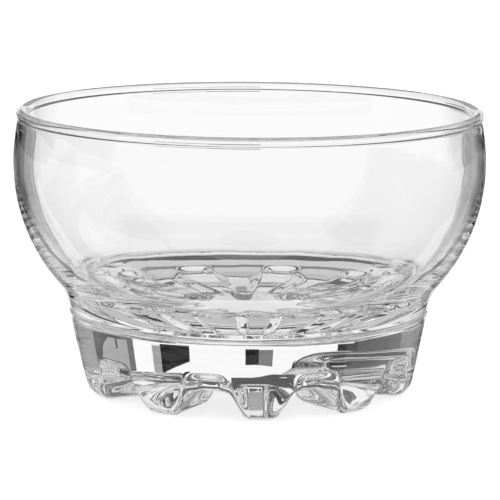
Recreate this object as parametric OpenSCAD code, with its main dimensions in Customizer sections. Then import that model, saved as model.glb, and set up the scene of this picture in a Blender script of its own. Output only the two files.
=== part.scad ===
// Pressed glass salad bowl in one piece: a round belly with a beaded lip, drawn in
// to a short neck that stands on a thick foot ring. The ring ends below in rounded
// feet with smooth arches between them. Millimetres, +Z up, origin on the table
// under the centre. The first foot's axis lies on -Y, turned by foot_turn.

/* [Body] */
// Widest outside diameter of the belly
body_d = 125; // [112:1:140]
// Height from the table to the top of the lip
bowl_h = 75; // [66:1:90]
// Drop from the top of the lip to the widest point
widest_drop = 14.6; // [12.5:0.1:18]
// Radius of the shoulder between the widest point and the lip
shoulder_r = 60; // [50:1:85]
// Radius of the hollow sweep between the belly and the foot ring
neck_sweep_r = 15; // [8:1:20]
// Glass thickness at the widest point
wall_t = 2.8; // [2.2:0.1:4]
// Height of the inside floor at its centre
floor_h = 19; // [16:0.5:24]
// Radius of the shallow dish of the inside floor
floor_r = 200; // [140:5:320]

/* [Lip] */
// Thickness of the lip bead
lip_t = 3; // [2.4:0.1:4]
// How far the lip bead stands inside the widest point
lip_inset = 0.9; // [0.4:0.1:1.3]
// Radius of the shallow groove under the bead
groove_r = 1.2; // [0.6:0.1:2.5]

/* [Foot ring] */
// Diameter of the neck and of the top of the ring
ring_d = 95.6; // [84:0.2:102]
// Height from the table to the ledge on top of the ring
ring_h = 21.6; // [17:0.1:25]
// Draft of the ring's side, in degrees from upright
ring_draft = 11; // [4:0.5:14]
// Width of the ledge where the neck meets the ring
ledge_w = 0.5; // [0.4:0.1:2]
// Height of the crease above the ledge
crease_h = 0.9; // [0.4:0.1:2]
// Depth of the crease under the plain band
band_crease = 0.1; // [0.05:0.05:0.6]

/* [Feet] */
// Number of feet
foot_count = 10; // [8:1:12]
// Turn of the first foot from the front, in degrees
foot_turn = 4.7; // [0:0.1:30]
// Width of the flat under a foot
foot_flat_w = 5.2; // [2:0.2:8]
// Width of a foot where its flanks reach the arch
foot_w = 16.4; // [12:0.2:20]
// Width of a foot where it leaves the plain band
foot_top_w = 19.4; // [16:0.2:22]
// Fullness of a foot's flanks: 1 is an even curve and more is fuller
foot_full = 1.3; // [1:0.1:2]
// Taper of a foot's flanks, in degrees from upright
foot_taper = 18; // [5:1:25]
// Radius of a foot's outer bottom edge
foot_round = 4.2; // [2:0.1:6]
// Radius from the axis at which a foot starts to rise inwards
foot_in_r = 24; // [20:0.5:30]
// Radius from the axis at which a foot has died out
foot_end_r = 14; // [8:0.5:18]
// Height of the arches between the feet
arch_h = 7; // [4:0.5:10]
// Radius of the arches' outer edge
arch_round = 3; // [1.5:0.1:5]
// Depth of the flutes between the feet on the outside
flute_depth = 3; // [1:0.1:4.5]
// Height of the flutes, from the arches' rounded edge up to the plain band
flute_h = 3; // [2:0.1:5]
// Height of the hollow under the base
recess_h = 8; // [5:0.5:11]

/* [Hidden] */
$fn = 180;

glass = [0.86, 0.93, 0.93, 0.45];

body_r = body_d / 2;
widest_z = bowl_h - widest_drop;
ring_r = ring_d / 2;
bead_r = lip_t / 2;
bead_c = [body_r - lip_inset - bead_r, bowl_h - bead_r];
cavity_r = body_r - wall_t;

// Lower end of the neck's sweep, a little under the ledge, how far the neck is
// narrower there than the ring, and how far its root lies inside the crease
sweep_drop = 2.1;
sweep_z = ring_h - sweep_drop;
neck_inset = 0.4;
root_inset = 1;

// The revolved body and the foot ring overlap between these two heights, both of
// them above the hollow under the base and below the floor and the ledge.
base_top = min(floor_h, ring_h);
core_z = recess_h + 0.4 * (base_top - recess_h);
seat_z = recess_h + 0.7 * (base_top - recess_h);
core_clear = 1.5;
core_r = side_r(core_z) - flute_depth - core_clear;
seat_inset = 0.5;

// Radius at which the widths of the feet are measured
foot_ref_r = ring_r - 5.8;
// Small round on the ledge's outer edge
ledge_round = 0.3;
// Lower edge of the plain band, where the flutes and the crease start
band_z = arch_h + arch_round + flute_h;
// Width over which a flute falls away beside a foot, and the share of that width
// which lies on the foot's flank
flute_blend = 4;
flute_start = 0.4;
// Shares of the flutes' height, down from the band, over which the crease falls in
// and comes out again, and at which it has died out
crease_in = 0.2;
crease_out = 0.4;
crease_end = 0.8;

// Number of steps along each stretch of the outlines
sweep_steps = 8;
belly_steps = 20;
shoulder_steps = 8;
groove_steps = 4;
bead_steps = 8;
inner_steps = 8;
cavity_steps = 20;
dish_steps = 10;
steps_per_foot = 15;
round_steps = 2;
flute_steps = 6;
last_share = 0.85;
side_steps = 2;
edge_steps = 6;
rib_steps = 5;
end_steps = 8;
centre_r = 3;

function smooth(x) = let (t = min(1, max(0, x))) t * t * (3 - 2 * t);

function mix(a, b, t) = a + (b - a) * t;

// Points along an arc; first = 1 leaves out the point that it starts from
function arc(c, r, from, to, steps, first = 0) =
    [for (i = [first:steps]) let (a = mix(from, to, i / steps)) c + r * [cos(a), sin(a)]];

function heading(from, to) = atan2(to[1] - from[1], to[0] - from[0]);

// The two centres' circles of radius r0 and r1 cross twice: this is the crossing
// on the right-hand side of the line from c0 to c1.
function crossing(c0, r0, c1, r1) =
    let (d = norm(c1 - c0), u = (c1 - c0) / d,
         a = (r0 * r0 - r1 * r1 + d * d) / (2 * d), h = sqrt(r0 * r0 - a * a))
    c0 + a * u + h * [u[1], -u[0]];

// Belly: an arc that is upright at the widest point and tangent to the neck's sweep
sweep_c = [ring_r - neck_inset + neck_sweep_r, sweep_z];
belly_gap = sweep_c[0] - body_r;
belly_rise = widest_z - sweep_z;
belly_r = (belly_gap * belly_gap + belly_rise * belly_rise - neck_sweep_r * neck_sweep_r)
    / (2 * (neck_sweep_r - belly_gap));
belly_c = [body_r - belly_r, widest_z];

// Shoulder and the groove between it and the bead
shoulder_c = [body_r - shoulder_r, widest_z];
groove_c = crossing(shoulder_c, shoulder_r + groove_r, bead_c, bead_r + groove_r);

// Inside above the widest point: upright there and tangent to the bead
inner_gap = bead_c[0] - cavity_r;
inner_rise = bead_c[1] - widest_z;
inner_r = (inner_gap * inner_gap + inner_rise * inner_rise - bead_r * bead_r)
    / (2 * (bead_r - inner_gap));
inner_c = [cavity_r - inner_r, widest_z];

// Inside below the widest point: upright there and tangent to the dished floor
dish_c = [0, floor_h + floor_r];
dish_depth = widest_z - floor_h;
bowl_r = (2 * dish_depth * floor_r - cavity_r * cavity_r - dish_depth * dish_depth)
    / (2 * (floor_r - cavity_r));
bowl_c = [cavity_r - bowl_r, widest_z];

// Half section of the revolved body, round from the bottom of its core
function body_outline() = concat(
    [[0, core_z], [core_r, core_z], [ring_r - ledge_w - root_inset, sweep_z]],
    let (low = asin((ring_h + crease_h - sweep_z) / neck_sweep_r))
        arc(sweep_c, neck_sweep_r, 180 - low, heading(sweep_c, belly_c), sweep_steps),
    ends_off(arc(belly_c, belly_r, heading(belly_c, sweep_c), 0, belly_steps)),
    arc(shoulder_c, shoulder_r, 0, heading(shoulder_c, groove_c), shoulder_steps),
    ends_off(arc(groove_c, groove_r, heading(groove_c, shoulder_c),
        heading(groove_c, bead_c) - 360, groove_steps)),
    arc(bead_c, bead_r, heading(bead_c, groove_c), 90, bead_steps),
    arc(bead_c, bead_r, 90, heading(bead_c, inner_c) + 360, bead_steps, 1),
    ends_off(arc(inner_c, inner_r, heading(inner_c, bead_c), 0, inner_steps)),
    arc(bowl_c, bowl_r, 0, heading(dish_c, bowl_c), cavity_steps),
    arc(dish_c, floor_r, heading(dish_c, bowl_c), -90, dish_steps, 1)
);

// The same points without the first and the last
function ends_off(points) = [for (i = [1:len(points) - 2]) points[i]];

// Radius of the ring's plain drafted side at height z
function side_r(z) = ring_r - tan(ring_draft) * (ring_h - z);

// Radius of the ring's side at height z, w to the side of a foot's axis: a crease
// runs round under the plain band, and the flutes round out up to it.
function fluted_r(z, w) =
    let (t = (band_z - z) / flute_h,
         crease = band_crease * smooth(t / crease_in) * smooth((crease_end - t) / crease_out),
         half = foot_top_w / 2 - tan(foot_taper) * (band_z - z))
    side_r(z) - mix(crease, flute_depth * smooth(t), smooth((w - half) / flute_blend + flute_start));

// How far up a foot's flank lies, w to the side of its axis: 0 on the flat under
// the foot and 1 at the arch. Towards the centre the widths shrink with the radius.
function flank_at(w) =
    smooth(pow(max(0, (w - foot_flat_w / 2) / ((foot_w - foot_flat_w) / 2)), foot_full));

// Height of the underside at radius r, under a flank
function under_z(r, flank) =
    let (reach = smooth((r - foot_end_r) / (foot_in_r - foot_end_r)),
         roof = mix(recess_h, arch_h, smooth((r - foot_in_r) / (foot_ref_r - foot_in_r - foot_round))))
    roof * (1 - reach * (1 - flank));

// Outline of the foot ring at the angle a from a foot's axis: over the seat, over
// the ledge, down the side, round the bottom edge and in to the centre.
function foot_outline(a) =
    let (w = abs(foot_ref_r * sin(a)),
         flank = flank_at(w),
         edge = mix(foot_round, arch_round, flank),
         edge_z = arch_h * flank + edge,
         edge_c = fluted_r(edge_z, w) - edge / cos(ring_draft),
         top_z = ring_h - ledge_round,
         low_z = band_z - last_share * flute_h)
    concat(
        [[core_r - seat_inset, seat_z], [ring_r - ledge_w - 2 * root_inset, ring_h]],
        arc([ring_r - ledge_round, top_z], ledge_round, 90, 0, round_steps),
        [for (i = [0:flute_steps]) let (z = mix(band_z, low_z, i / flute_steps)) [fluted_r(z, w), z]],
        [for (i = [1:side_steps]) let (z = mix(low_z, edge_z, i / side_steps)) [fluted_r(z, w), z]],
        [for (i = [1:edge_steps]) let (t = mix(-ring_draft, -90, i / edge_steps))
            [edge_c + edge * cos(t), edge_z + edge * sin(t)]],
        [for (i = [1:rib_steps]) let (r = mix(edge_c, foot_in_r, i / rib_steps)) [r, under_z(r, flank)]],
        [for (i = [1:end_steps]) let (r = mix(foot_in_r, foot_end_r, i / end_steps))
            [r, under_z(r, flank)]],
        [[centre_r, recess_h]]
    );

foot_steps = foot_count * steps_per_foot;

module foot_ring() {
    loops = [for (i = [0:foot_steps - 1])
        let (turn = 360 * i / foot_steps, pitch = 360 / foot_count,
             off = turn - pitch * round(turn / pitch), bearing = turn + foot_turn - 90)
        [for (p = foot_outline(off)) [p[0] * cos(bearing), p[0] * sin(bearing), p[1]]]];
    rows = len(loops[0]);
    points = [for (loop = loops) for (p = loop) p];
    top = [for (i = [0:foot_steps - 1]) (foot_steps - 1 - i) * rows];
    bottom = [for (i = [0:foot_steps - 1]) i * rows + rows - 1];
    skin = [for (i = [0:foot_steps - 1]) for (j = [0:rows - 2])
        let (a = i * rows + j, b = ((i + 1) % foot_steps) * rows + j)
        each [[a, b + 1, a + 1], [a, b, b + 1]]];
    polyhedron(points = points, faces = concat([top, bottom], skin), convexity = 6);
}

module body() {
    rotate_extrude() polygon(body_outline());
}

module bowl() {
    color(glass) union() {
        body();
        foot_ring();
    }
}

bowl();
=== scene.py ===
"""A pressed glass salad bowl in a bright white studio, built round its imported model."""

import math

import bpy
import numpy as np
from bpy.props import (
    FloatProperty, FloatVectorProperty, IntProperty, PointerProperty, StringProperty)
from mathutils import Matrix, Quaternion, Vector


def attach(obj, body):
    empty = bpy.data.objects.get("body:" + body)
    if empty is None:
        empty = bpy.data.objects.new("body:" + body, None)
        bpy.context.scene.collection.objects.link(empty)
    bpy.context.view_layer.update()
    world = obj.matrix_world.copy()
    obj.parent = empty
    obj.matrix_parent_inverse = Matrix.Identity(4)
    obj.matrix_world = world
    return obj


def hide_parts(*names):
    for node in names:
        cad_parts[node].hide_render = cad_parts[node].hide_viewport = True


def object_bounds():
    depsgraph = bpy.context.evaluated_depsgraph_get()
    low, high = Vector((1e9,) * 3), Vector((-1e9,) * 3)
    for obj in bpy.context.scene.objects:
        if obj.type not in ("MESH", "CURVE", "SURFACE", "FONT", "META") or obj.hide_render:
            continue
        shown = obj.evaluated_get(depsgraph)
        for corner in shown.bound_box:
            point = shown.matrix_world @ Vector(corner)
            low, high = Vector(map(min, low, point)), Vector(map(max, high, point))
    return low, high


bl_info = {
    "name": "Pressed Glass Salad Bowl",
    "version": (1, 0, 0),
    "blender": (4, 5, 0),
    "location": "3D View > Sidebar > Salad Bowl",
    "description": "Builds a one-piece pressed glass salad bowl with a ring of rounded feet",
    "category": "Add Mesh",
}

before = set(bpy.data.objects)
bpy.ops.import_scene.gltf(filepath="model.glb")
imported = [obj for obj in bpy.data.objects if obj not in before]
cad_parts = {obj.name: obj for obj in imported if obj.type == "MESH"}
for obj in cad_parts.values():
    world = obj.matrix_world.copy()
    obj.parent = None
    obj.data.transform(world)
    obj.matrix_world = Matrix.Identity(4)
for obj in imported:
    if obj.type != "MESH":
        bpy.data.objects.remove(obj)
CAD_LOW, CAD_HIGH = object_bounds()
MM = 0.001
WHITE = (1, 1, 1, 1)

# Sections round the axis. With the steps below they keep the bowl under 200,000 triangles.
TURNS = 400

# Steps along the body's section.
DISH_STEPS = 34
INSIDE_STEPS = 40
UPPER_INSIDE_STEPS = 10
BEAD_STEPS = 22
GROOVE_STEPS = 6
SHOULDER_STEPS = 12
BELLY_STEPS = 36
SWEEP_STEPS = 12

# Points and steps along the foot ring's section.
LEDGE_POINTS = 5
BAND_POINTS = 5
FLUTE_POINTS = 15
FOOT_SIDE_STEPS = 6
EDGE_STEPS = 12
UNDERSIDE_STEPS = 14
MIDDLE_STEPS = 3

# The neck's sweep is centred a little below the ledge and ends a little inside the ring.
SWEEP_DROP = 2.1 * MM
NECK_INSET = 0.4 * MM
# Round on the ledge's outer edge.
LEDGE_ROUND = 0.3 * MM
# The feet's widths are measured on a circle this far inside the ring.
REFERENCE_INSET = 5.8 * MM
# A flute sinks in over this width from a foot's flank, and this share of it lies before the flank.
FLUTE_BLEND = 4 * MM
FLUTE_START = 0.4
# Share of the flutes' height with the closer rows of faces.
FLUTE_SHARE = 0.9
# Rows this close to a change of slope keep the shading crisp there.
SETTLE = 0.1 * MM
# Radius of the innermost ring of faces underneath.
CENTRE = 2 * MM

# Clear glass is an image of the studio round it, so cards stand there, as in a photographer's
# light tent: white straight behind for the clear inside and the foot ring's band, dark to either
# side for the wall's edges, and pale in front. The cards glow with these colours, so they are
# painted light and painted shade that no lamp gives them. Each card gives its name, its glowing
# colour at the top and at the foot, and the angles between which it stands, in degrees: from
# straight behind the bowl, positive to the right, and then up from level. Each one is a little
# nearer than the one before, so a later card hides an earlier one.
CARDS = (
    ("front", "#F5F5F5", "#EBEBEB", (105, 255), (8, 62)),
    ("upper_left", "#F5F5F5", "#F5F5F5", (-62, -28), (60, 70)),
    ("upper_right", "#F5F5F5", "#F5F5F5", (26, 60), (22, 60)),
    ("ceiling", "#EBEBEB", "#EBEBEB", (-180, 180), (62, 80)),
    ("front_low", "#EBEBEB", "#EBEBEB", (110, 250), (-22, 8)),
    ("front_lowest", "#646464", "#3C3C3C", (110, 250), (-60, -22)),
    ("side_right", "#F5F5F5", "#F0F0F0", (56, 110), (-40, 12)),
    ("side_left", "#F5F5F5", "#F0F0F0", (-110, -56), (-40, 0.2)),
    ("behind", "#FFFFFF", "#FFFFFF", (-28, 28), (-5, 9)),
    ("behind_high", "#555555", "#555555", (-16, 9), (9, 50)),
    ("ground", "#D2D2D2", "#D2D2D2", (-180, 180), (-80, -36)),
    ("ground_middle", "#BEBEBE", "#BEBEBE", (-180, 180), (-80, -60)),
    ("ground_stripe", "#2D2D2D", "#2D2D2D", (-60, 60), (-46.5, -39.5)),
    ("ground_stripe_middle", "#5A5A5A", "#5A5A5A", (-2.5, 2.5), (-46.5, -41)),
    ("ground_stripe_near", "#787878", "#787878", (-60, 60), (-54, -51.5)),
    ("ground_far", "#E1E1E1", "#D7D7D7", (-56, 56), (-36, -26)),
    ("right_9", "#EBEBEB", "#E4E4E4", (51, 56), (-26, -3)),
    ("right_8", "#DADADA", "#C8C8C8", (45, 51), (-14, -3)),
    ("right_7", "#C6C6C6", "#A5A5A5", (38, 45), (-14, -3)),
    ("right_6", "#B9B9B9", "#828282", (32, 38), (-14, -3)),
    ("right_5", "#A0A0A0", "#646464", (28, 32), (-14, -3)),
    ("right_4", "#696969", "#464646", (25, 28), (-14, -3)),
    ("right_8_low", "#D4D4D4", "#E2E2E2", (45, 51), (-26, -14)),
    ("right_7_low", "#BCBCBC", "#DCDCDC", (38, 45), (-26, -14)),
    ("right_6_low", "#969696", "#D4D4D4", (32, 38), (-26, -14)),
    ("right_5_low", "#6E6E6E", "#CDCDCD", (28, 32), (-26, -14)),
    ("right_4_low", "#414141", "#AAAAAA", (25, 28), (-26, -14)),
    ("right_3", "#080808", "#080808", (18.5, 25), (-32, -3)),
    ("right_2", "#505050", "#505050", (16.5, 18.5), (-32, -3)),
    ("right_1", "#B9B9B9", "#B9B9B9", (15, 16.5), (-32, -3)),
    ("left_8", "#EBEBEB", "#E1E1E1", (-56, -51), (-26, -3)),
    ("left_7", "#D7D7D7", "#BEBEBE", (-51, -46), (-14, -3)),
    ("left_6", "#B4B4B4", "#919191", (-46, -41), (-14, -3)),
    ("left_5", "#9E9E9E", "#696969", (-41, -36), (-14, -3)),
    ("left_4", "#949494", "#505050", (-36, -30), (-14, -3)),
    ("left_3", "#5F5F5F", "#3C3C3C", (-30, -27), (-14, -3)),
    ("left_7_low", "#D0D0D0", "#E2E2E2", (-51, -46), (-26, -14)),
    ("left_6_low", "#B4B4B4", "#DEDEDE", (-46, -41), (-26, -14)),
    ("left_5_low", "#919191", "#D6D6D6", (-41, -36), (-26, -14)),
    ("left_4_low", "#707070", "#D0D0D0", (-36, -30), (-26, -14)),
    ("left_3_low", "#414141", "#AAAAAA", (-30, -27), (-26, -14)),
    ("left_2", "#080808", "#080808", (-27, -18.5), (-32, -3)),
    ("left_1", "#787878", "#787878", (-18.5, -15.8), (-32, -3)),
    ("behind_low", "#FFFFFF", "#F0F0F0", (-15.8, 15), (-36, -3)),
    ("left_high", "#3E3E3E", "#3E3E3E", (-112, -24.5), (0.2, 60)),
)
# Nearer cards, all at one distance, that glow in painted dark and grey tones and draw the dark
# patches in the foot ring's band.
NEAR_CARDS = (
    ("near_right_1", "#141414", "#141414", (11.5, 18.3), (0.1, 4)),
    ("near_right_2", "#A5A5A5", "#A5A5A5", (18.3, 20.5), (0.1, 1.8)),
    ("near_right_3", "#A0A0A0", "#A0A0A0", (28.5, 47), (0.1, 4.3)),
    ("near_right_4", "#141414", "#141414", (31, 37), (3.1, 10)),
    ("near_right_5", "#1E1E1E", "#1E1E1E", (37, 46.5), (4.3, 12)),
    ("near_right_6", "#8C8C8C", "#8C8C8C", (46.5, 70), (-1, 13)),
    ("near_left_1", "#1E1E1E", "#1E1E1E", (-24.5, -18.5), (0.1, 5)),
    ("near_left_2", "#484848", "#484848", (-45, -24.5), (0.1, 14)),
    ("near_left_3", "#787878", "#787878", (-56, -45), (0.1, 14)),
    ("near_left_4", "#696969", "#696969", (-72, -56), (0.1, 14)),
    ("near_middle_1", "#141414", "#141414", (-2.0, 0.5), (-0.4, 2.3)),
    ("near_middle_2", "#7D7D7D", "#7D7D7D", (-4.6, -2.0), (-0.4, 1.6)),
)
# Each card bends in flat strips of up to this many degrees.
CARD_STRIP = 5.0

SENSOR_WIDTH = 36
CLIP_START, CLIP_END = 0.01, 20
GLASS_BOUNCES = 32
# Strength of the white world where it lights the floor, and of the white that the floor adds for
# the camera.
WORLD_LIGHT = 0.8
FLOOR_GLOW = 0.6


def size_property(name, description, millimetres):
    """A length in metres whose default is given in millimetres."""
    return FloatProperty(
        name=name, description=description, default=millimetres * MM, min=0.0, precision=5,
        unit="LENGTH", subtype="DISTANCE")


def angle_property(name, description, degrees):
    """An angle whose default is given in degrees."""
    return FloatProperty(
        name=name, description=description, default=math.radians(degrees), unit="ROTATION",
        subtype="ANGLE")


class BodySizes(bpy.types.PropertyGroup):
    """Sizes of the bowl's body and lip."""

    width: FloatProperty(
        name="Width", description="Widest outside diameter of the belly",
        default=CAD_HIGH.x - CAD_LOW.x, unit="LENGTH", subtype="DISTANCE")
    height: FloatProperty(
        name="Height", description="Height from the table to the top of the lip",
        default=CAD_HIGH.z - CAD_LOW.z, unit="LENGTH", subtype="DISTANCE")
    widest_drop: size_property("Widest point", "Drop from the lip to the widest point", 14.6)
    shoulder: size_property("Shoulder radius", "Radius between the widest point and the lip", 60)
    sweep: size_property("Neck sweep", "Radius of the hollow sweep down to the foot ring", 15)
    wall: size_property("Wall", "Glass thickness at the widest point", 2.8)
    floor: size_property("Floor height", "Height of the inside floor at its centre", 19)
    dish: size_property("Dish radius", "Radius of the shallow dish of the floor", 200)
    lip: size_property("Lip thickness", "Thickness of the bead round the lip", 3)
    lip_inset: size_property(
        "Lip inset", "How far the bead stands inside the widest point", 0.9)
    groove: size_property("Groove radius", "Radius of the shallow groove under the bead", 1.2)


class FootSizes(bpy.types.PropertyGroup):
    """Sizes of the foot ring and its feet."""

    ring_width: size_property("Ring width", "Diameter of the top of the foot ring", 95.6)
    ring_height: size_property("Ring height", "Height of the ledge on top of the ring", 21.6)
    draft: angle_property("Draft", "Draft of the ring's side from upright", 11)
    ledge: size_property("Ledge", "Width of the ledge where the neck meets the ring", 0.5)
    crease: size_property("Crease", "Height of the crease above the ledge", 0.9)
    count: IntProperty(name="Feet", description="Number of feet", default=10, min=3)
    turn: angle_property("Turn", "Turn of the first foot from the front", 4.7)
    flat: size_property("Flat", "Width of the flat under a foot", 5.2)
    width: size_property("Foot width", "Width of a foot where its flanks reach the arch", 16.4)
    top_width: size_property(
        "Top width", "Width of a foot where it leaves the plain band", 19.4)
    fullness: FloatProperty(
        name="Fullness", description="Fullness of a foot's flanks", default=1.3)
    taper: angle_property("Taper", "Taper of a foot's flanks from upright", 18)
    edge: size_property("Foot edge", "Radius of a foot's outer bottom edge", 4.2)
    rise_start: size_property(
        "Rise start", "Distance from the axis where a foot starts to rise", 24)
    rise_end: size_property("Rise end", "Distance from the axis where a foot has died out", 14)
    arch: size_property("Arch", "Height of the arches between the feet", 7)
    arch_edge: size_property("Arch edge", "Radius of the arches' outer edge", 3)
    flute: size_property("Flute", "Depth of the flutes between the feet", 3)
    flute_height: size_property(
        "Flute height", "Height of the flutes, from the arches' edge to the plain band", 3)
    recess: size_property("Recess", "Height of the hollow under the base", 8)


class GlassLook(bpy.types.PropertyGroup):
    """Colour and surface of the glass."""

    tint: StringProperty(
        name="Tint", description="Colour of the glass, as sRGB hex", default="#FEFEFE")
    ior: FloatProperty(
        name="IOR", description="Index of refraction of soda-lime glass", default=1.52)
    wave: size_property("Wave", "Width of the slow waves that pressing leaves in the surface", 9)
    wave_depth: FloatProperty(
        name="Wave depth", description="Strength of those waves", default=0.004)


class StageSetup(bpy.types.PropertyGroup):
    """Camera, floor, cards and lamp."""

    camera_at: FloatVectorProperty(
        name="Camera", description="Where the camera stands", default=(0, -0.7695, 0.17007),
        subtype="TRANSLATION", unit="LENGTH")
    aim_at: FloatVectorProperty(
        name="Aim", description="What the camera points at", default=(0.00027, 0, 0.03681),
        subtype="TRANSLATION", unit="LENGTH")
    lens: FloatProperty(
        name="Lens", description="Focal length on a 36 mm sensor, in mm", default=211.3)
    roll: angle_property("Roll", "Roll of the camera", 0.43)
    floor_size: FloatProperty(
        name="Floor", description="Side of the floor", default=6, unit="LENGTH")
    floor_colour: StringProperty(
        name="Floor colour", description="Colour of the floor, as sRGB hex", default="#F4F4F4")
    surround: StringProperty(
        name="Surround", description="What the glass shows where no card stands, as sRGB hex",
        default="#5A5A5A")
    card_distance: FloatProperty(
        name="Card distance", description="Distance of the farthest card from the bowl",
        default=2.6, unit="LENGTH")
    card_gap: FloatProperty(
        name="Card gap", description="How much nearer each card stands than the one before",
        default=0.02, unit="LENGTH")
    near_distance: FloatProperty(
        name="Near distance", description="Distance of the near cards from the bowl",
        default=0.7, unit="LENGTH")
    card_level: size_property(
        "Card level", "Height from which the cards' angles are measured", 12)
    lamp_at: FloatVectorProperty(
        name="Lamp", description="Where the lamp hangs", default=(0.0, 0.1, 1.2),
        subtype="TRANSLATION", unit="LENGTH")
    lamp_size: FloatProperty(
        name="Lamp size", description="Side of the square lamp", default=0.8, unit="LENGTH")
    lamp_power: FloatProperty(
        name="Lamp power", description="Power of the lamp", default=6, unit="POWER")


def linear(text):
    """Linear RGBA from an sRGB hex colour."""
    parts = [int(text[i:i + 2], 16) / 255 for i in (1, 3, 5)]
    return [c / 12.92 if c <= 0.04045 else ((c + 0.055) / 1.055) ** 2.4 for c in parts] + [1.0]


def add_node(tree, kind, inputs=None, **settings):
    """Adds a node, applies its settings, and fills or links its inputs."""
    node = tree.nodes.new(kind)
    for name, value in settings.items():
        setattr(node, name, value)
    for socket, value in (inputs or {}).items():
        if isinstance(value, bpy.types.NodeSocket):
            tree.links.new(value, node.inputs[socket])
        else:
            node.inputs[socket].default_value = value
    return node


def empty_material(name):
    """A new material and its cleared node tree."""
    material = bpy.data.materials.new(name)
    material.use_nodes = True
    material.node_tree.nodes.clear()
    return material, material.node_tree


def smooth(x):
    """Smooth step from 0 to 1."""
    t = np.clip(x, 0, 1)
    return t * t * (3 - 2 * t)


def after(start, end, steps):
    """A row of values in even steps from start to end, without the first one."""
    return np.linspace(start, end, steps + 1)[None, 1:]


def arc(centre, radius, start, end, steps):
    """Points (r, z) along an arc, without the first one. Angles in radians."""
    t = np.linspace(start, end, steps + 1)[1:]
    return np.stack([centre[0] + radius * np.cos(t), centre[1] + radius * np.sin(t)], axis=-1)


def heading(start, end):
    """Direction from one point to another."""
    return math.atan2(end[1] - start[1], end[0] - start[0])


def crossing(c0, r0, c1, r1):
    """Crossing of two circles on the right-hand side of the line from c0 to c1."""
    c0, c1 = np.array(c0), np.array(c1)
    d = np.linalg.norm(c1 - c0)
    u = (c1 - c0) / d
    a = (r0 * r0 - r1 * r1 + d * d) / (2 * d)
    h = math.sqrt(r0 * r0 - a * a)
    return c0 + a * u + h * np.array([u[1], -u[0]])


def body_outline(body, foot):
    """Half section from the middle of the inside floor, over the lip, down to the ledge."""
    outer = body.width / 2
    inner = outer - body.wall
    widest = body.height - body.widest_drop
    bead = body.lip / 2
    bead_c = (outer - body.lip_inset - bead, body.height - bead)
    shoulder_c = (outer - body.shoulder, widest)
    groove_c = crossing(shoulder_c, body.shoulder + body.groove, bead_c, bead + body.groove)

    # The inside touches the dish of the floor below and is upright at the widest point.
    depth = widest - body.floor
    inside = (2 * depth * body.dish - inner ** 2 - depth ** 2) / (2 * (body.dish - inner))
    inside_c = (inner - inside, widest)
    dish_c = (0.0, body.floor + body.dish)

    # Above the widest point it leans in to touch the bead.
    gap, rise = bead_c[0] - inner, bead_c[1] - widest
    upper = (gap ** 2 + rise ** 2 - bead ** 2) / (2 * (bead - gap))
    upper_c = (inner - upper, widest)

    # The belly runs down from the widest point into the neck's hollow sweep.
    ring = foot.ring_width / 2
    sweep_c = (ring - NECK_INSET + body.sweep, foot.ring_height - SWEEP_DROP)
    gap, rise = sweep_c[0] - outer, widest - sweep_c[1]
    belly = (gap ** 2 + rise ** 2 - body.sweep ** 2) / (2 * (body.sweep - gap))
    belly_c = (outer - belly, widest)
    low = math.asin((foot.ring_height + foot.crease - sweep_c[1]) / body.sweep)
    turn = 2 * math.pi

    return np.concatenate([
        arc(dish_c, body.dish, -math.pi / 2, heading(dish_c, inside_c), DISH_STEPS),
        arc(inside_c, inside, heading(dish_c, inside_c), 0, INSIDE_STEPS),
        arc(upper_c, upper, 0, heading(upper_c, bead_c), UPPER_INSIDE_STEPS),
        arc(bead_c, bead, heading(bead_c, upper_c) % turn, heading(bead_c, groove_c),
            BEAD_STEPS),
        arc(groove_c, body.groove, heading(groove_c, bead_c) % turn,
            heading(groove_c, shoulder_c) % turn, GROOVE_STEPS),
        arc(shoulder_c, body.shoulder, heading(shoulder_c, groove_c), 0, SHOULDER_STEPS),
        arc(belly_c, belly, 0, heading(belly_c, sweep_c), BELLY_STEPS),
        arc(sweep_c, body.sweep, heading(sweep_c, belly_c), math.pi - low, SWEEP_STEPS),
    ])


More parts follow.
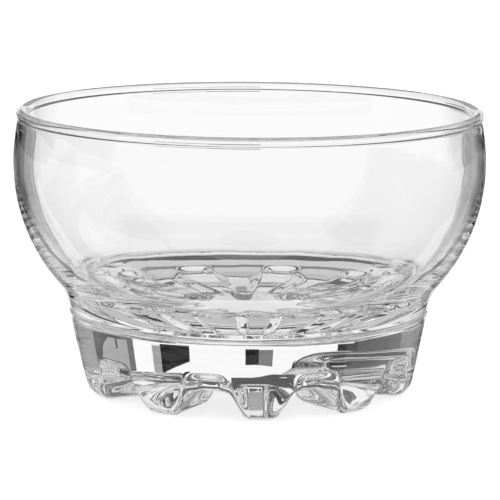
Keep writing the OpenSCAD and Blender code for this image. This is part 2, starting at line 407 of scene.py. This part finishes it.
def foot_outline(foot, off):
    """Half sections of the foot ring at the angles off, from the ledge in to the middle."""
    ring = foot.ring_width / 2
    reference = ring - REFERENCE_INSET
    band = foot.arch + foot.arch_edge + foot.flute_height
    w = reference * np.abs(np.sin(off))[:, None]
    half_flat, half = foot.flat / 2, foot.width / 2
    flank = smooth(np.maximum(0, (w - half_flat) / (half - half_flat)) ** foot.fullness)

    def side(z):
        """Radius of the ring's side at height z."""
        plain = ring - math.tan(foot.draft) * (foot.ring_height - z)
        half_top = foot.top_width / 2 - math.tan(foot.taper) * (band - z)
        down = (band - z) / foot.flute_height
        between = smooth((w - half_top) / FLUTE_BLEND + FLUTE_START)
        return plain - foot.flute * smooth(down) * between

    edge = foot.edge + (foot.arch_edge - foot.edge) * flank
    edge_z = foot.arch * flank + edge
    edge_r = side(edge_z) - edge / math.cos(foot.draft)
    top = foot.ring_height - LEDGE_ROUND
    ones = np.ones_like(w)

    # The ledge and its rounded outer edge.
    parts = [(ones * (ring - foot.ledge), ones * foot.ring_height)]
    t = np.linspace(math.pi / 2, 0, LEDGE_POINTS)[None, :]
    parts.append((ones * (ring - LEDGE_ROUND + LEDGE_ROUND * np.cos(t)),
                  ones * (top + LEDGE_ROUND * np.sin(t))))

    # The plain band, the flutes and the sides of the feet.
    low = band - FLUTE_SHARE * foot.flute_height
    z = ones * np.concatenate([
        [top - SETTLE], np.linspace(top - SETTLE, band + SETTLE, BAND_POINTS)[1:],
        np.linspace(band, low, FLUTE_POINTS)])
    parts.append((side(z), z))
    z = low + (edge_z - low) * after(0, 1, FOOT_SIDE_STEPS)
    parts.append((side(z), z))
    t = after(-foot.draft, -math.pi / 2, EDGE_STEPS)
    parts.append((edge_r + edge * np.cos(t), edge_z + edge * np.sin(t)))

    # Underneath, the feet run inwards as ribs and rise to the hollow in the middle.
    inward = edge_r + (foot.rise_start - edge_r) * after(0, 1, UNDERSIDE_STEPS)
    outward = ones * after(foot.rise_start, foot.rise_end, UNDERSIDE_STEPS)
    middle = ones * after(foot.rise_end, CENTRE, MIDDLE_STEPS)
    r = np.concatenate([inward, outward, middle], axis=1)
    reach = smooth((r - foot.rise_end) / (foot.rise_start - foot.rise_end))
    roof = foot.recess + (foot.arch - foot.recess) * smooth(
        (r - foot.rise_start) / (reference - foot.rise_start - foot.edge))
    parts.append((r, roof * (1 - reach * (1 - flank))))
    return tuple(np.concatenate(rows, axis=1) for rows in zip(*parts))


def make_glass(body, foot):
    """One closed mesh of the bowl: sections turned round the axis, closed at both middles."""
    upper = body_outline(body, foot)
    bearing = np.arange(TURNS) * 2 * math.pi / TURNS
    pitch = 2 * math.pi / foot.count
    lower_r, lower_z = foot_outline(foot, bearing - pitch * np.round(bearing / pitch))
    r = np.concatenate([np.broadcast_to(upper[:, 0], (TURNS, len(upper))), lower_r], axis=1)
    z = np.concatenate([np.broadcast_to(upper[:, 1], (TURNS, len(upper))), lower_z], axis=1)
    angle = (bearing + foot.turn - math.pi / 2)[:, None]
    points = np.stack([r * np.cos(angle), r * np.sin(angle), z], axis=-1)
    rows = points.shape[1]
    verts = points.reshape(-1, 3).tolist()
    verts += [[0.0, 0.0, body.floor], [0.0, 0.0, foot.recess]]
    top, bottom = len(verts) - 2, len(verts) - 1
    faces = []
    for i in range(TURNS):
        a, b = i * rows, (i + 1) % TURNS * rows
        faces.append((top, a, b))
        faces += [(a + j, a + j + 1, b + j + 1, b + j) for j in range(rows - 1)]
        faces.append((bottom, b + rows - 1, a + rows - 1))
    mesh = bpy.data.meshes.new("bowl_glass")
    mesh.from_pydata(verts, [], faces)
    mesh.shade_smooth()
    mesh.update()
    piece = bpy.data.objects.new("bowl_glass", mesh)
    bpy.context.collection.objects.link(piece)
    return piece


def pressed_soda_lime_glass(look):
    """Clear soda-lime glass, pressed and fire-polished: mirror-smooth, with slow waves.

    The eye gets sharp images of the studio, which the waves bend a little.
    """
    material, tree = empty_material("PressedSodaLimeGlass")
    place = add_node(tree, "ShaderNodeTexCoord")
    noise = add_node(tree, "ShaderNodeTexNoise", {
        "Vector": place.outputs["Object"], "Scale": 1 / look.wave, "Detail": 1.0})
    bump = add_node(tree, "ShaderNodeBump", {
        "Height": noise.outputs["Fac"], "Strength": look.wave_depth, "Distance": look.wave})
    glass = add_node(tree, "ShaderNodeBsdfPrincipled", {
        "Base Color": linear(look.tint), "Roughness": 0.0, "IOR": look.ior,
        "Transmission Weight": 1.0, "Normal": bump.outputs["Normal"]})
    add_node(tree, "ShaderNodeOutputMaterial", {"Surface": glass.outputs["BSDF"]})
    return material


class SALADBOWL_OT_glass(bpy.types.Operator):
    """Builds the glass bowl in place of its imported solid"""

    bl_idname = "saladbowl.glass"
    bl_label = "Glass Bowl"

    def execute(self, context):
        scene = context.scene
        piece = make_glass(scene.bowl_body, scene.bowl_foot)
        piece.data.materials.append(pressed_soda_lime_glass(scene.bowl_glass))
        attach(piece, "root")
        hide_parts("bowl")
        return {"FINISHED"}


def matt_white_paper(colour):
    """Matt white paper: the bowl's shadow falls on it, and the camera sees it as clean white."""
    material, tree = empty_material("MattWhitePaper")
    path = add_node(tree, "ShaderNodeLightPath")
    seen = add_node(tree, "ShaderNodeMath", {
        0: path.outputs["Is Camera Ray"], 1: path.outputs["Is Glossy Ray"]},
        operation="MAXIMUM")
    seen = add_node(tree, "ShaderNodeMath", {
        0: seen.outputs[0], 1: path.outputs["Is Transmission Ray"]}, operation="MAXIMUM")
    glow = add_node(tree, "ShaderNodeMath", {0: seen.outputs[0], 1: FLOOR_GLOW},
                    operation="MULTIPLY")
    surface = add_node(tree, "ShaderNodeBsdfDiffuse", {"Color": colour})
    light = add_node(tree, "ShaderNodeEmission", {"Color": WHITE, "Strength": glow.outputs[0]})
    both = add_node(tree, "ShaderNodeAddShader", {0: surface.outputs[0], 1: light.outputs[0]})
    add_node(tree, "ShaderNodeOutputMaterial", {"Surface": both.outputs[0]})
    return material


def glowing_card(top, foot):
    """Glowing card in painted light: the glass shows it as one soft tone, from its foot's to its
    top's.
    """
    material, tree = empty_material("GlowingCard")
    place = add_node(tree, "ShaderNodeTexCoord")
    up = add_node(tree, "ShaderNodeSeparateXYZ", {"Vector": place.outputs["Generated"]})
    low, high = [add_node(tree, "ShaderNodeEmission", {"Color": colour, "Strength": 1.0})
                 for colour in (foot, top)]
    light = add_node(tree, "ShaderNodeMixShader", {
        0: up.outputs["Z"], 1: low.outputs[0], 2: high.outputs[0]})
    add_node(tree, "ShaderNodeOutputMaterial", {"Surface": light.outputs[0]})
    return material


def stage_mesh(name, verts, faces, material):
    """A mesh of the stage."""
    mesh = bpy.data.meshes.new(name)
    mesh.from_pydata(verts, [], faces)
    mesh.materials.append(material)
    panel = bpy.data.objects.new(name, mesh)
    bpy.context.collection.objects.link(panel)
    return panel


def make_floor(setup):
    """The floor, which glass doesn't show: the cards stand there instead."""
    half = setup.floor_size / 2
    corners = [(-half, -half, 0), (half, -half, 0), (half, half, 0), (-half, half, 0)]
    paper = matt_white_paper(linear(setup.floor_colour))
    floor = stage_mesh("floor", corners, [(0, 1, 2, 3)], paper)
    floor.visible_transmission = floor.visible_glossy = False


def make_card(card, distance, level):
    """An upright card, curved round the bowl, that only reflections and the glass can meet."""
    name, top, foot, (start, end), (low, high) = card
    strips = math.ceil((end - start) / CARD_STRIP)
    turns = [math.radians(start + (end - start) * i / strips) for i in range(strips + 1)]
    verts = [(distance * math.sin(turn), distance * math.cos(turn),
              level + distance * math.tan(math.radians(rise)))
             for turn in turns for rise in (low, high)]
    faces = [(2 * i, 2 * i + 2, 2 * i + 3, 2 * i + 1) for i in range(strips)]
    panel = stage_mesh(name, verts, faces, glowing_card(linear(top), linear(foot)))
    panel.visible_camera = panel.visible_diffuse = panel.visible_shadow = False


def make_lamp(setup):
    """A square lamp that points at the bowl and doesn't show in it."""
    data = bpy.data.lights.new("top_lamp", "AREA")
    data.size, data.energy = setup.lamp_size, setup.lamp_power
    lamp = bpy.data.objects.new("top_lamp", data)
    bpy.context.collection.objects.link(lamp)
    lamp.location = setup.lamp_at
    lamp.visible_glossy = lamp.visible_transmission = False
    lamp.rotation_euler = (-Vector(setup.lamp_at)).to_track_quat("-Z", "Y").to_euler()


def make_world(scene, surround):
    """White to the camera, the surround's colour to the glass, and plain light on the floor."""
    world = bpy.data.worlds.new("Studio")
    scene.world = world
    world.use_nodes = True
    tree = world.node_tree
    tree.nodes.clear()
    path = add_node(tree, "ShaderNodeLightPath")
    bent = add_node(tree, "ShaderNodeMath", {
        0: path.outputs["Is Glossy Ray"], 1: path.outputs["Is Transmission Ray"]},
        operation="MAXIMUM")
    level = add_node(tree, "ShaderNodeMapRange", {
        "Value": path.outputs["Is Diffuse Ray"], "To Min": 1.0, "To Max": WORLD_LIGHT})
    direct = add_node(tree, "ShaderNodeBackground", {
        "Color": WHITE, "Strength": level.outputs[0]})
    shown = add_node(tree, "ShaderNodeBackground", {"Color": surround, "Strength": 1.0})
    light = add_node(tree, "ShaderNodeMixShader", {
        0: bent.outputs[0], 1: direct.outputs[0], 2: shown.outputs[0]})
    add_node(tree, "ShaderNodeOutputWorld", {"Surface": light.outputs[0]})


def make_camera(scene, setup):
    """The camera of the reference view."""
    data = bpy.data.cameras.new("Camera")
    data.lens, data.sensor_width = setup.lens, SENSOR_WIDTH
    data.clip_start, data.clip_end = CLIP_START, CLIP_END
    camera = bpy.data.objects.new("Camera", data)
    bpy.context.collection.objects.link(camera)
    camera.location = setup.camera_at
    look = Vector(setup.aim_at) - Vector(setup.camera_at)
    camera.rotation_mode = "QUATERNION"
    camera.rotation_quaternion = (
        look.to_track_quat("-Z", "Y") @ Quaternion((0, 0, 1), setup.roll))
    scene.camera = camera


class SALADBOWL_OT_stage(bpy.types.Operator):
    """Sets up the floor, cards, lamp, world and camera"""

    bl_idname = "saladbowl.stage"
    bl_label = "Stage"

    def execute(self, context):
        scene = context.scene
        setup = scene.bowl_stage
        make_floor(setup)
        for number, card in enumerate(CARDS):
            distance = setup.card_distance - number * setup.card_gap
            make_card(card, distance, setup.card_level)
        for card in NEAR_CARDS:
            make_card(card, setup.near_distance, setup.card_level)
        make_lamp(setup)
        make_world(scene, linear(setup.surround))
        make_camera(scene, setup)
        scene.view_settings.view_transform = "Standard"
        for limit in ("max_bounces", "transmission_bounces", "glossy_bounces"):
            setattr(scene.cycles, limit, GLASS_BOUNCES)
        return {"FINISHED"}


class SALADBOWL_PT_panel(bpy.types.Panel):
    """Lists the sizes and the steps"""

    bl_label = "Salad Bowl"
    bl_space_type = "VIEW_3D"
    bl_region_type = "UI"
    bl_category = "Salad Bowl"

    def draw(self, context):
        for name, group in GROUPS.items():
            box = self.layout.box()
            for setting in group.__annotations__:
                box.prop(getattr(context.scene, name), setting)
        for step in (SALADBOWL_OT_glass, SALADBOWL_OT_stage):
            self.layout.operator(step.bl_idname)


GROUPS = {
    "bowl_body": BodySizes, "bowl_foot": FootSizes, "bowl_glass": GlassLook,
    "bowl_stage": StageSetup}
CLASSES = (*GROUPS.values(), SALADBOWL_OT_glass, SALADBOWL_OT_stage, SALADBOWL_PT_panel)


def register():
    """Registers the classes and their settings."""
    for cls in CLASSES:
        bpy.utils.register_class(cls)
    for name, group in GROUPS.items():
        setattr(bpy.types.Scene, name, PointerProperty(type=group))


def unregister():
    """Takes the classes and their settings away."""
    for name in GROUPS:
        delattr(bpy.types.Scene, name)
    for cls in reversed(CLASSES):
        bpy.utils.unregister_class(cls)


def main():
    """Builds the bowl and its stage."""
    register()
    bpy.ops.saladbowl.glass()
    bpy.ops.saladbowl.stage()


if __name__ == "__main__":
    main()
